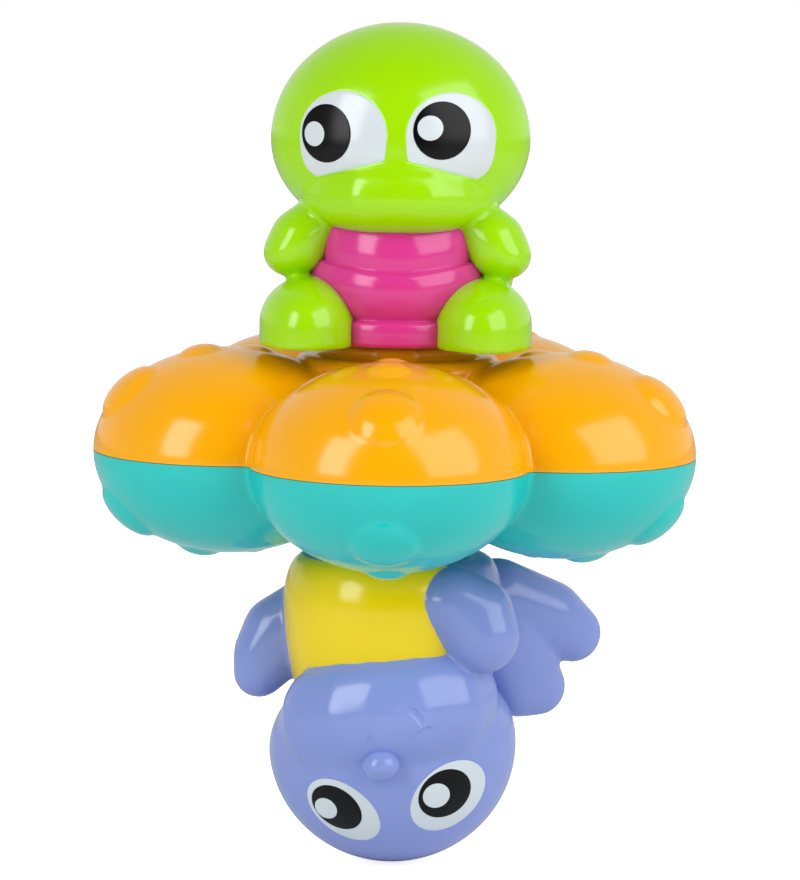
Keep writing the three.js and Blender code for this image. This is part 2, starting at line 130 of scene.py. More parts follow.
TURTLE_GLINTS = {1: (7.6, 50.2, 2.9, 2.8), -1: (-18.8, 48.25, 2.3, 2.8)}
TURTLE_SCREWS = ((0, 53), (11, 12.5), (-11, 12.5))

# Seal forms, upright, in millimetres from the middle of its flat bottom
SEAL_SPLIT = 0
SEAL_HEADING = -3
SEAL_HEAD_TILT = -6.7
SEAL_HEAD = {"at": (0, 0, 45), "radii": (29, 27, 28), "below": 21}
SEAL_MUZZLE = (
    {"at": (13.4, -15.9, 35.9), "radii": (10.0, 10.8, 12.7)},
    {"at": (7, -19.2, 35.3), "radii": (10, 10.6, 13.4)},
    {"at": (0, -20.6, 34.8), "radii": (10, 10.4, 13.5)},
    {"at": (-8, -19.6, 34.6), "radii": (10, 10.6, 13.5)},
    {"at": (-14.6, -16.4, 34.6), "radii": (10.2, 10.9, 13.3)},
    {"at": (-18, -10.5, 34), "radii": (8.8, 10, 10.6)},
)
SEAL_MOUTH = ((-2.8, 32.8), (-4.2, 31.8), (-5.9, 31.6), (-7.3, 32.2), (-8.6, 33.6), (-9.4, 34.8), (-9.85, 36.2))
SEAL_DIMPLE = ((-7.9, 39.4), (-8.3, 38.2), (-9.0, 37.2), (-10.1, 36.5), (-11.3, 36.4), (-12.4, 36.7))
SEAL_PHILTRUM = ((2.3, 41.1), (2.4, 39.9), (2.5, 38.7), (2.6, 37.5))
GROOVE_RADIUS = 1.5
GROOVE_FACETS = 4
SEAL_NOSE = {"at": (0, -28.6, 45), "radii": (4.3, 3.8, 3.5)}
SEAL_TORSO_PROFILE = (
    (19.0, 0), (21.5, 0.2), (23.3, 1.5), (24.5, 3.5), (25.5, 6.5), (26.0, 11), (25.8, 17), (25.2, 22), (24.2, 27),
    (22.8, 32), (20.8, 37), (18, 42),
)
SEAL_TORSO_DEPTH = 0.96
SEAL_LEFT_ARM = (
    {"at": (19, 2, 15), "radii": (9, 7.5, 9)},
    {"at": (27.4, 1, 19.5), "radii": (8.3, 7, 8.3)},
    {"at": (30.9, 0.5, 25), "radii": (6.9, 6.5, 7.5)},
    {"at": (31.6, 0, 29.4), "radii": (6.1, 6, 6)},
)
SEAL_RIGHT_ARM = (
    {"at": (-15, -16, 8.5), "radii": (9.5, 9, 8)},
    {"at": (-20.5, -16.5, 11.5), "radii": (8.8, 8, 8.5)},
    {"at": (-21.8, -17, 16.2), "radii": (8.8, 8, 9)},
)
SEAL_PLATE_HEADINGS = (-40, 100)
SEAL_PLATE_BOTTOM = 0.4
SEAL_PLATE_TOP = 34
SEAL_PLATE_WALL = 2.2
SEAL_PLATE_PROUD = 0.4
SEAL_EYES = {1: (10.5, 56.0, 9.65, 6.4), -1: (-13.7, 55.0, 9.8, 6.9)}
SEAL_PUPILS = {1: (12.0, 55.2, 6.5, 4.9), -1: (-13.2, 54.1, 6.4, 5.3)}
SEAL_GLINTS = {1: (14.6, 55.4, 2.8, 2.5), -1: (-11.4, 54.2, 3.1, 2.9)}
SEAL_EYE_SLANT = 42
SEAL_SCREWS = ((0, 53), (12, 15), (-12, 15))
TAIL_TURN = -208
TAIL_OUTER = (
    {"at": (26, 0, 12), "radii": (9.5, 7.5, 9.5)},
    {"at": (40, 0, 17), "radii": (8.4, 6.2, 8.4)},
    {"at": (46.3, 0, 21.6), "radii": (7, 5, 7)},
)
TAIL_INNER = (
    {"at": (27, 0, 20), "radii": (10, 7.5, 10)},
    {"at": (32, 0, 34), "radii": (7, 5.5, 7)},
    {"at": (37.2, 0, 33.9), "radii": (7, 5, 7)},
)

# Eye seats and prints, in millimetres, and the fineness of their discs
EYE_SQUARENESS = 2 / 3
EYE_LIFT = 0.1
EYE_CHAMFER = 0.5
EYE_CHAMFER_SHARE = 0.05
EYE_SPILL = 0.15
EYE_CUTTER = 12
EYE_DEPTH = 0.9
PRINT_DEPTH = 0.2
EYE_ROUND = 0.06
EYE_RIM_ANGLE = 60
PATCH_ROWS = 14
PATCH_STEPS = 24

# Openings and walls, in millimetres
SCREW_HOLE = 3.1
SCREW_SEAT = 6.3
BASE_WELL = ((15.3, 3.9), (14, 16))
SPINDLE_BORE = 6.3
FLOAT_WALL = 2.2
HUB_ROUND = 2.5
COLLAR_RADIUS = 18
COLLAR_GAP = 0.45
COLLAR_TOP = FIGURE_Z - COLLAR_GAP
COLLAR_ROUND = 0.8
WASHER_SEAT = 11.4

# Fineness of the fused skins: voxels in millimetres, and rounds of smoothing
VOXEL = 0.62
INNER_VOXEL = 2.2
SMOOTH_FACTOR = 0.5
SMOOTH_ROUNDS = 6
TURTLE_FACE_SMOOTH = 36
SEAL_FACE_SMOOTH = 14
LIMB_SMOOTH = 24
INNER_SMOOTH = 2
SMOOTH_ANGLE = 40

# Fineness of the forms before they are fused: rings of a ball, and how near its equator counts as on it
ON_EQUATOR = 1e-6
SKIN_RINGS = 96
PRINT_RINGS = 128
BALL_RINGS = 72
LIMB_RINGS = 40
SMALL_RINGS = 32

# Sides of round bars and of screw holes
ROUND_SIDES = 128
HOLE_SIDES = 64

# Finish of the mouldings: flow mottling and orange peel, with sizes in millimetres
MOTTLE_SIZE = 22
MOTTLE_TINT = (0.97, 1.02)
PEEL_SIZE = 1.4
PEEL_HEIGHT = 0.05
PEEL_STRENGTH = 0.03
GLOSS_SPREAD = (-0.03, 0.04)
ABS_GLOSS = {"roughness": 0.17, "ior": 1.5}
INK_GLOSS = {"roughness": 0.24, "ior": 1.3}

# Turned steel has a bright glint, moulded acetal a dull sheen and nitrile rubber almost none. Grain sizes are in
# millimetres, and the steel's turning marks are drawn coarser than real ones, so that they show
GRAIN_TINT = (0.92, 1.05)
GRAIN_STRENGTH = 0.3
STEEL = {"colour": "#B9BCC0", "metallic": 1.0, "roughness": 0.3, "grain": 0.6, "depth": 0.02}
# The acetal's near-black is partly painted shade: the washers are dark so that they read as the shaded gap under each
# figure
SHADE_BLACK_ACETAL = {"colour": "#2E2F31", "metallic": 0.0, "roughness": 0.42, "grain": 2.5, "depth": 0.02}
RUBBER = {"colour": "#232427", "metallic": 0.0, "roughness": 0.7, "grain": 1.0, "depth": 0.05}

# Camera: fitted to the seam outline in the photograph
PHOTO_SIZE = (800, 880)
CAMERA_DISTANCE = 1046
CAMERA_AZIMUTH = 2.1
CAMERA_ELEVATION = 7.15
CAMERA_ROLL = 0.8
FOCAL_PIXELS = 4500
ORIGIN_PIXEL = (396.4, 445.5)
SENSOR = 36

# Surroundings: strengths where 1 is white, and the side that the white cloth hangs on
ROOM_DIM = 0.05
ROOM_WHITE = 0.8
CLOTH_SIDE = (0, 0.8, -0.6)
CLOTH_EDGE = (-0.8, 0.4)
FLOOR_LIFT = 0.8
FLOOR_SIZE = 8
FLOOR_GAP = 0.5
PAPER_WHITE = 0.9
PAPER_ROUGHNESS = 0.9

# Softboxes: degrees from the front and up, metres, watts
LAMP_DISTANCE = 1.1
LAMPS = (
    {"name": "left_softbox", "azimuth": -44, "elevation": 26, "size": (0.45, 0.9), "watts": 6.8},
    {"name": "right_softbox", "azimuth": 55, "elevation": 30, "size": (0.95, 1.05), "watts": 9.2},
)


def linear(hex_colour):
    """Turns an sRGB hex colour into the linear values that shaders take."""
    channels = [int(hex_colour[i:i + 2], 16) / 255 for i in (1, 3, 5)]
    return [c / 12.92 if c <= 0.04045 else ((c + 0.055) / 1.055) ** 2.4 for c in channels]


def colour_property(label, about, hex_colour):
    """A colour that the user may change."""
    return FloatVectorProperty(name=label, description=about, subtype="COLOR", size=3, min=0, max=1,
                               default=linear(hex_colour))


class ToyColours(bpy.types.PropertyGroup):
    """Colours of the moulded pieces."""
    lime: colour_property("Turtle", "Lime green of the turtle's skin", "#A3E200")
    pink: colour_property("Turtle belly", "Pink of the turtle's belly", "#DC3A92")
    orange: colour_property("Upper float", "Orange of the float's upper half", "#FFB000")
    teal: colour_property("Lower float", "Teal of the float's lower half", "#1EC6C1")
    lavender: colour_property("Seal", "Lavender of the seal's skin", "#8999DA")
    yellow: colour_property("Seal belly", "Yellow of the seal's belly", "#FADA00")
    white: colour_property("Eyes", "White of the eyes", "#D6DFE4")
    black: colour_property("Pupils", "Black of the printed pupils", "#050505")


def size_property(label, about, millimetres):
    """A length that the user may change."""
    return FloatProperty(name=label, description=about, default=millimetres * MM, unit="LENGTH", precision=5)


class ToySizes(bpy.types.PropertyGroup):
    """Sizes that a user may change without touching the frame."""
    print_lift: size_property("Print thickness", "Thickness of the printed pupils", 0.08)
    crevice: size_property("Seam gap", "Width of the hairline seams between two halves", 0.14)
    eye_sink: size_property("Eye seat", "Depth of the seats that the eyes are let into", 0.3)
    groove_depth: size_property("Mouth lines", "Depth of the lines round the seal's mouth", 0.36)


def size_of(name):
    """One of the sizes that the user may change, in millimetres."""
    return getattr(bpy.context.scene.toy_sizes, name) / MM


# Materials
def add_node(tree, kind, settings=None, **links):
    """Adds one shader node, sets its values and sockets, and links sockets to other nodes' outputs."""
    node = tree.nodes.new(kind)
    for name, value in (settings or {}).items():
        if name in node.inputs:
            node.inputs[name].default_value = value
        else:
            setattr(node, name, value)
    for name, output in links.items():
        tree.links.new(output, node.inputs[name.replace("_", " ")])
    return node


def new_finish(name):
    """An empty material, with its node tree, its shader and the piece's own coordinates."""
    material = bpy.data.materials.new(name)
    material.use_nodes = True
    tree = material.node_tree
    place = add_node(tree, "ShaderNodeTexCoord").outputs["Object"]
    return material, tree, tree.nodes["Principled BSDF"], place


def moulded_plastic(name, colour, roughness, ior):
    """Injection-moulded ABS: high gloss over an even colour, with faint flow mottling and a trace of orange peel."""
    material, tree, shader, place = new_finish(name)
    mottle = add_node(tree, "ShaderNodeTexNoise", {"Scale": 1 / (MOTTLE_SIZE * MM), "Detail": 2.0}, Vector=place)
    peel = add_node(tree, "ShaderNodeTexNoise", {"Scale": 1 / (PEEL_SIZE * MM), "Detail": 1.0}, Vector=place)
    tint = add_node(tree, "ShaderNodeMapRange", {"To Min": MOTTLE_TINT[0], "To Max": MOTTLE_TINT[1]},
                    Value=mottle.outputs["Fac"])
    shade = add_node(tree, "ShaderNodeHueSaturation", {"Color": (*colour, 1)}, Value=tint.outputs["Result"])
    gloss = add_node(tree, "ShaderNodeMapRange",
                     {"To Min": roughness + GLOSS_SPREAD[0], "To Max": roughness + GLOSS_SPREAD[1]},
                     Value=mottle.outputs["Fac"])
    bump = add_node(tree, "ShaderNodeBump", {"Strength": PEEL_STRENGTH, "Distance": PEEL_HEIGHT * MM},
                    Height=peel.outputs["Fac"])
    tree.links.new(shade.outputs["Color"], shader.inputs["Base Color"])
    tree.links.new(gloss.outputs["Result"], shader.inputs["Roughness"])
    tree.links.new(bump.outputs["Normal"], shader.inputs["Normal"])
    shader.inputs["IOR"].default_value = ior
    return material


def hardware(name, kind):
    """Plain hardware: turned steel, moulded acetal or rubber, told apart by metal, gloss and grain size."""
    material, tree, shader, place = new_finish(name)
    grain = add_node(tree, "ShaderNodeTexNoise", {"Scale": 1 / (kind["grain"] * MM), "Detail": 3.0}, Vector=place)
    tint = add_node(tree, "ShaderNodeMapRange", {"To Min": GRAIN_TINT[0], "To Max": GRAIN_TINT[1]},
                    Value=grain.outputs["Fac"])
    shade = add_node(tree, "ShaderNodeHueSaturation", {"Color": (*linear(kind["colour"]), 1)},
                     Value=tint.outputs["Result"])
    bump = add_node(tree, "ShaderNodeBump", {"Strength": GRAIN_STRENGTH, "Distance": kind["depth"] * MM},
                    Height=grain.outputs["Fac"])
    tree.links.new(shade.outputs["Color"], shader.inputs["Base Color"])
    tree.links.new(bump.outputs["Normal"], shader.inputs["Normal"])
    shader.inputs["Metallic"].default_value = kind["metallic"]
    shader.inputs["Roughness"].default_value = kind["roughness"]
    return material


def finish_of(colour_name):
    """The finish that goes with one of the toy's colours, made once."""
    colour = getattr(bpy.context.scene.toy_colours, colour_name)
    name, gloss = f"moulded_abs_{colour_name}", ABS_GLOSS
    if colour_name == "black":
        # Pad-printed ink is a thin film on the plastic, with less gloss than the moulding under it
        name, gloss = "pad_printed_ink", INK_GLOSS
    return bpy.data.materials.get(name) or moulded_plastic(name, colour, **gloss)


# Modelling helpers
def clear_selection():
    """Leaves edit mode and deselects everything, so that the next operator acts on new work alone."""
    if bpy.context.object and bpy.context.object.mode != "OBJECT":
        bpy.ops.object.mode_set(mode="OBJECT")
    bpy.ops.object.select_all(action="DESELECT")


def pick(piece):
    """Makes one object the only selected and active one."""
    clear_selection()
    piece.select_set(True)
    bpy.context.view_layer.objects.active = piece


def settle(piece):
    """Puts an object's place, turn and scale into its mesh."""
    pick(piece)
    bpy.ops.object.transform_apply(location=True, rotation=True, scale=True)
    return piece


def select_points(piece, test):
    """Selects the vertices that pass a test of their place, and enters edit mode."""
    pick(piece)
    bpy.ops.object.mode_set(mode="EDIT")
    bpy.ops.mesh.select_mode(type="VERT")
    bpy.ops.mesh.select_all(action="DESELECT")
    bpy.ops.object.mode_set(mode="OBJECT")
    for vertex in piece.data.vertices:
        vertex.select = test(vertex.co)
    bpy.ops.object.mode_set(mode="EDIT")


def ball(form, rings=BALL_RINGS, grow=0.0):
    """An ellipsoid whose lower half may have its own depth; sizes in millimetres."""
    clear_selection()
    bpy.ops.mesh.primitive_uv_sphere_add(segments=2 * rings, ring_count=rings, radius=1)
    piece = bpy.context.object
    radii = [radius + grow for radius in form["radii"]]
    if "below" in form:
        select_points(piece, lambda point: point.z < -ON_EQUATOR)
        stretch = (form["below"] + grow) / radii[2]
        bpy.ops.transform.resize(value=(1, 1, stretch), center_override=(0, 0, 0))
        bpy.ops.object.mode_set(mode="OBJECT")
    piece.scale = [radius * MM for radius in radii]
    piece.location = [value * MM for value in form["at"]]
    return settle(piece)


def mirrored(form, side):
    """The same form on the other side of the figure."""
    x, y, z = form["at"]
    return {**form, "at": (side * x, y, z)}


def both_sides(forms):
    """Forms and their mirror images."""
    return [*forms, *(mirrored(form, -1) for form in forms if form["at"][0])]


def slice_off(piece, point, normal, fill=True):
    """Cuts away what lies on the side that the normal points to; point in millimetres."""
    pick(piece)
    bpy.ops.object.mode_set(mode="EDIT")
    bpy.ops.mesh.select_all(action="SELECT")
    bpy.ops.mesh.bisect(plane_co=[value * MM for value in point], plane_no=normal, use_fill=fill, clear_outer=True)
    bpy.ops.object.mode_set(mode="OBJECT")
    return piece


def apply_modifier(piece, kind, **settings):
    """Adds one modifier, sets it and applies it."""
    pick(piece)
    modifier = piece.modifiers.new(kind.title(), kind)
    for name, value in settings.items():
        setattr(modifier, name, value)
    bpy.ops.object.modifier_apply(modifier=modifier.name)
    return piece


def combine(piece, tool, operation):
    """Joins, cuts or meets one solid with another, which is used up."""
    apply_modifier(piece, "BOOLEAN", operation=operation, solver="EXACT", object=tool)
    bpy.data.objects.remove(tool, do_unlink=True)
    if not piece.data.polygons:
        raise RuntimeError(f"Nothing is left of {piece.name} after a cut or join")
    return piece


def fuse(name, pieces, voxel=VOXEL, rounds=SMOOTH_ROUNDS):
    """Melts overlapping solids into one skin with soft creases, as a polished mould leaves them."""
    clear_selection()
    for piece in pieces:
        piece.select_set(True)
    whole = pieces[0]
    bpy.context.view_layer.objects.active = whole
    bpy.ops.object.join()
    apply_modifier(whole, "REMESH", mode="VOXEL", voxel_size=voxel * MM)
    apply_modifier(whole, "SMOOTH", factor=SMOOTH_FACTOR, iterations=rounds)
    whole.name = name
    return whole


def duplicate(piece, name):
    """A copy with its own mesh."""
    pick(piece)
    bpy.ops.object.duplicate(linked=False)
    twin = bpy.context.object
    twin.name = name
    return twin


def rod(x, z, radius, near, far):
    """A round bar along Y; sizes in millimetres."""
    clear_selection()
    bpy.ops.mesh.primitive_cylinder_add(vertices=HOLE_SIDES, radius=radius * MM, depth=(far - near) * MM)
    piece = bpy.context.object
    piece.rotation_euler = (math.pi / 2, 0, 0)
    piece.location = (x * MM, (near + far) / 2 * MM, z * MM)
    return settle(piece)


def turn_about(piece, centre, axis, degrees):
    """Turns an object's mesh about a point, in millimetres."""
    pivot = Matrix.Translation(Vector(centre) * MM)
    piece.matrix_world = pivot @ Matrix.Rotation(math.radians(degrees), 4, axis) @ pivot.inverted()
    return settle(piece)


def sit_upright(piece):
    """Moves a figure's piece from its own frame onto the float's upper hub."""
    piece.location = (0, 0, FIGURE_Z * MM)
    return settle(piece)


def hang_below(piece):
    """Turns a figure's piece upside down and hangs it under the float's lower hub."""
    piece.rotation_euler = (0, math.pi, math.radians(SEAL_HEADING))
    piece.location = (0, 0, -FIGURE_Z * MM)
    return settle(piece)


def dress(piece, name, colour_name, body, slot, *nodes):
    """Names a finished piece, gives it its finish and ties it to the frame."""
    pick(piece)
    piece.name = name
    piece.data.name = name
    piece.data.materials.clear()
    piece.data.materials.append(finish_of(colour_name))
    bpy.ops.object.shade_smooth_by_angle(angle=math.radians(SMOOTH_ANGLE))
    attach(piece, body)
    if nodes:
        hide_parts(*nodes)
    return piece


def split_skin(skin, split, front_name, back_name):
    """Parts a figure's skin into a front and a back half with a hairline crevice between them."""
    gap = size_of("crevice") / 2
    back = duplicate(skin, back_name)
    slice_off(skin, (0, split - gap, 0), (0, 1, 0))
    slice_off(back, (0, split + gap, 0), (0, -1, 0))
    skin.name = front_name
    return skin, back


def screw_holes(back, split, screws):
    """Sinks the case-screw holes into a back half."""
    for x, z in screws:
        combine(back, rod(x, z, SCREW_HOLE, split + SCREW_SEAT, OUTSIDE), "DIFFERENCE")
    return back


def base_well(skin):
    """Opens a figure's flat bottom for its base disc and the swivel hardware above it."""
    for radius, depth in BASE_WELL:
        clear_selection()
        bpy.ops.mesh.primitive_cylinder_add(vertices=ROUND_SIDES, radius=radius * MM, depth=2 * depth * MM)
        combine(skin, bpy.context.object, "DIFFERENCE")
    return skin


def hull(forms):
    """One taut paddle drawn round several balls, as a flipper or an arm is modelled in clay."""
    balls = [ball(form, LIMB_RINGS) for form in forms]
    clear_selection()
    for piece in balls:
        piece.select_set(True)
    bpy.context.view_layer.objects.active = balls[0]
    bpy.ops.object.join()
    bpy.ops.object.mode_set(mode="EDIT")
    bpy.ops.mesh.select_all(action="SELECT")
    bpy.ops.mesh.convex_hull()
    bpy.ops.object.mode_set(mode="OBJECT")
    return balls[0]


def spun(profile):
    """A closed body spun about the upright axis from (radius, height) pairs in millimetres."""
    clear_selection()
    bpy.ops.mesh.primitive_circle_add(vertices=ROUND_SIDES, radius=profile[0][0] * MM,
                                      location=(0, 0, profile[0][1] * MM), fill_type="NGON")
    piece = settle(bpy.context.object)
    bpy.ops.object.mode_set(mode="EDIT")
    bpy.ops.mesh.select_all(action="SELECT")
    for (before, low), (after, high) in zip(profile, profile[1:]):
        bpy.ops.mesh.extrude_region_move(TRANSFORM_OT_translate={"value": (0, 0, (high - low) * MM)})
        bpy.ops.transform.resize(value=(after / before, after / before, 1), center_override=(0, 0, high * MM))
    bpy.ops.mesh.select_all(action="SELECT")
    bpy.ops.mesh.normals_make_consistent(inside=False)
    bpy.ops.object.mode_set(mode="OBJECT")
    return piece


def oval(x, z, half_x, half_z, slant=0.0):
    """An outline: where the edge of a slanted oval lies at each angle."""
    lean = math.radians(slant)

    def edge(angle, grow):
        across, up = (half_x + grow) * math.cos(angle), (half_z + grow) * math.sin(angle)
        return (x + across * math.cos(lean) + up * math.sin(lean), z - across * math.sin(lean) + up * math.cos(lean))
    return edge


def turtle_eye_edge(side):
    """An outline: the turtle's eye, round above, squarer below and cut off along the muzzle."""
    x, z = TURTLE_EYE["at"]
    tip, corner = TURTLE_EYE["tip"], TURTLE_EYE["corner"]
    fall = (corner[1] - tip[1]) / (corner[0] - tip[0])

    def edge(angle, grow):
        across, up = math.cos(angle), math.sin(angle)
        if up < 0:
            across, up = (math.copysign(abs(value) ** EYE_SQUARENESS, value) for value in (across, up))
        tall = TURTLE_EYE["half"][1] if up > 0 else TURTLE_EYE["below"]
        place = x + (TURTLE_EYE["half"][0] + grow) * across
        level = z + (tall + grow) * up
        ridge = tip[1] + fall * (place - tip[0]) - grow
        return side * place, max(level, ridge)
    return edge


def patch(edge, target, lift, grow=0.0):
    """A disc with the given outline, laid on a rounded form from the front; lift gives each place's height above it."""
    clear_selection()
    bpy.ops.mesh.primitive_circle_add(vertices=PATCH_STEPS, radius=1, fill_type="TRIFAN")
    piece = bpy.context.object
    bpy.ops.object.mode_set(mode="EDIT")
    bpy.ops.mesh.select_all(action="SELECT")
    bpy.ops.mesh.subdivide(number_cuts=PATCH_ROWS)
    bpy.ops.object.mode_set(mode="OBJECT")
    middle = [sum(edge(math.tau * step / 4, grow)[axis] for step in range(4)) / 4 for axis in (0, 1)]
    chord = math.cos(math.pi / PATCH_STEPS)
    reaches = []
    for vertex in piece.data.vertices:
        angle = math.atan2(vertex.co.y, vertex.co.x)
        # The disc starts as a polygon, so its straight sides are stretched out to the outline
        within = angle % (2 * math.pi / PATCH_STEPS) - math.pi / PATCH_STEPS
        reach = min(vertex.co.xy.length * math.cos(within) / chord, 1)
        rim = edge(angle, grow)
        place = [centre + reach * (out - centre) for centre, out in zip(middle, rim)]
        vertex.co = (place[0] * MM, -OUTSIDE * MM, place[1] * MM)
        reaches.append(reach)
    piece.data.update()
    if piece.data.polygons[0].normal.y > 0:
        piece.data.flip_normals()
    apply_modifier(piece, "SHRINKWRAP", wrap_method="PROJECT", use_project_y=True, target=target)
    for vertex, reach in zip(piece.data.vertices, reaches):
        vertex.co.y -= lift(reach) * MM
    return piece


def eye_layer(edge, target, lift, thickness):
    """A thin inlay or print with a softened rim."""
    piece = patch(edge, target, lambda reach: lift)
    apply_modifier(piece, "SOLIDIFY", thickness=thickness * MM, offset=-1)
    return apply_modifier(piece, "BEVEL", width=EYE_ROUND * MM, segments=2, limit_method="ANGLE",
                          angle_limit=math.radians(EYE_RIM_ANGLE))


def eye_seat(skin, edge, target):
    """Sinks a shallow seat for an eye into a face, with a chamfer round its rim."""
    sink = size_of("eye_sink")

    def depth(reach):
        return EYE_SPILL - (sink + EYE_SPILL) * min((1 - reach) / EYE_CHAMFER_SHARE, 1)
    cutter = patch(edge, target, depth, grow=EYE_CHAMFER)
    pick(cutter)
    bpy.ops.object.mode_set(mode="EDIT")
    bpy.ops.mesh.select_all(action="SELECT")
    bpy.ops.mesh.extrude_region_move(TRANSFORM_OT_translate={"value": (0, -EYE_CUTTER * MM, 0)})
    bpy.ops.mesh.select_all(action="SELECT")
    bpy.ops.mesh.normals_make_consistent(inside=False)
    bpy.ops.object.mode_set(mode="OBJECT")
    return combine(skin, cutter, "DIFFERENCE")


def groove(skin, points):
    """Presses a fine round-bottomed line into a face, through points given across and up, and lets its ends run out."""
    depth = size_of("groove_depth")
    trail = []
    for x, z in points:
        found, place, normal, _ = skin.ray_cast((x * MM, -OUTSIDE * MM, z * MM), (0, 1, 0))
        if not found:
            raise RuntimeError("A groove misses the face")
        trail.append(place + normal * (GROOVE_RADIUS - depth) * MM)
    curve = bpy.data.curves.new("groove", "CURVE")
    curve.dimensions = "3D"
    curve.bevel_depth = GROOVE_RADIUS * MM
    curve.bevel_resolution = GROOVE_FACETS
    curve.use_fill_caps = True
    line = curve.splines.new("POLY")
    line.points.add(len(trail) - 1)
    for point, place in zip(line.points, trail):
        point.co = (*place, 1)
    for end in (0, -1):
        line.points[end].radius = 1 - depth / GROOVE_RADIUS
    tube = bpy.data.objects.new("groove", curve)
    bpy.context.scene.collection.objects.link(tube)
    pick(tube)
    bpy.ops.object.convert(target="MESH")
    return combine(skin, bpy.context.object, "DIFFERENCE")


class TOY_OT_float(bpy.types.Operator):
    """Model the two halves of the flower float"""
    bl_idname = "toy.float"
    bl_label = "Flower Float"

    def execute(self, context):
        forms = []
        inside = []
        for step in range(LOBE_COUNT):
            turn = math.radians(step * 360 / LOBE_COUNT)
            place = (LOBE_RING * math.sin(turn), -LOBE_RING * math.cos(turn), 0)
            forms.append(ball({"at": place, "radii": LOBE_RADII}, SKIN_RINGS))
            forms += [self.dot(kind, turn) for kind in DOTS]
            inside.append(ball({"at": place, "radii": LOBE_RADII}, SMALL_RINGS, -FLOAT_WALL))
        forms += [self.post(HUB_RADIUS, HUB_TOP, HUB_ROUND), self.post(COLLAR_RADIUS, COLLAR_TOP, COLLAR_ROUND)]
        inside.append(self.post(HUB_RADIUS - FLOAT_WALL, HUB_TOP - FLOAT_WALL, HUB_ROUND))
        upper = fuse("float_upper", forms)
        combine(upper, fuse("float_inside", inside, INNER_VOXEL, INNER_SMOOTH), "DIFFERENCE")
        combine(upper, self.post(SPINDLE_BORE, 2 * HUB_TOP), "DIFFERENCE")
        seat = self.post(WASHER_SEAT, HUB_TOP)
        seat.location = (0, 0, 2 * HUB_TOP * MM)
        combine(upper, settle(seat), "DIFFERENCE")
        lower = duplicate(upper, "float_lower")
        lower.rotation_euler = (0, math.pi, 0)
        settle(lower)
        gap = size_of("crevice") / 2
        slice_off(upper, (0, 0, gap), (0, 0, -1))
        slice_off(lower, (0, 0, -gap), (0, 0, 1))
        dress(upper, "float_upper_skin", "orange", "float", "orange_abs", "float_upper_shell")
        dress(lower, "float_lower_skin", "teal", "float", "teal_abs", "float_lower_shell")
        return {"FINISHED"}

    def dot(self, kind, turn):
        """A low dome square to the lobe's skin."""
        angle = math.radians(kind["angle"])
        out = LOBE_RADII[0] * math.sin(angle)
        up = LOBE_RADII[2] * math.cos(angle)
        slope = math.atan2(out / LOBE_RADII[0] ** 2, up / LOBE_RADII[2] ** 2)
        radii = (kind["radius"], kind["radius"], kind["rise"] + DOT_SINK)
        dome = ball({"at": (0, 0, -DOT_SINK), "radii": radii}, SMALL_RINGS)
        dome.rotation_euler = (slope, 0, 0)
        dome.location = (0, -(LOBE_RING + out) * MM, up * MM)
        settle(dome)
        dome.rotation_euler = (0, 0, turn)
        return settle(dome)

    def post(self, radius, height, rounding=0):
        """A round post through the float's middle, as tall above the seam as below it."""
        clear_selection()
        bpy.ops.mesh.primitive_cylinder_add(vertices=ROUND_SIDES, radius=radius * MM, depth=2 * height * MM)
        post = bpy.context.object
        if rounding:
            apply_modifier(post, "BEVEL", width=rounding * MM, segments=6, limit_method="ANGLE")
        return post


class TOY_OT_turtle(bpy.types.Operator):
    """Model the turtle's two skins"""
    bl_idname = "toy.turtle"
    bl_label = "Turtle Skin"

    def execute(self, context):
        face = fuse("turtle_face", [ball(TURTLE_HEAD, SKIN_RINGS), hull(both_sides(TURTLE_MUZZLE))],
                    rounds=TURTLE_FACE_SMOOTH)
        forms = [face, ball(TURTLE_NECK)]
        seated = [ball(TURTLE_SHELL, SKIN_RINGS)]
        for side in (1, -1):
            forms.append(fuse("turtle_arm", [hull([mirrored(form, side) for form in TURTLE_ARM])], rounds=LIMB_SMOOTH))
            seated.append(hull([mirrored(form, side) for form in TURTLE_LEG]))
        forms += [slice_off(form, (0, 0, 0), (0, 0, -1)) for form in seated]
        foot = spun(TURTLE_FOOT["profile"])
        foot.scale = (1, TURTLE_FOOT["depth"], 1)
        foot.location = (0, TURTLE_FOOT["back"] * MM, 0)
        forms.append(settle(foot))
        skin = fuse("turtle_skin", forms)
        base_well(skin)
        head = ball(TURTLE_HEAD, PRINT_RINGS)
        for side in (1, -1):
            eye_seat(skin, turtle_eye_edge(side), head)
        bpy.data.objects.remove(head, do_unlink=True)
        front, back = split_skin(skin, TURTLE_SPLIT, "turtle_front", "turtle_back")
        screw_holes(back, TURTLE_SPLIT, TURTLE_SCREWS)
        dress(sit_upright(front), "turtle_front_skin", "lime", "turtle", "lime_abs", "turtle_front_shell")
        dress(sit_upright(back), "turtle_back_skin", "lime", "turtle", "lime_abs", "turtle_back_shell")
        return {"FINISHED"}


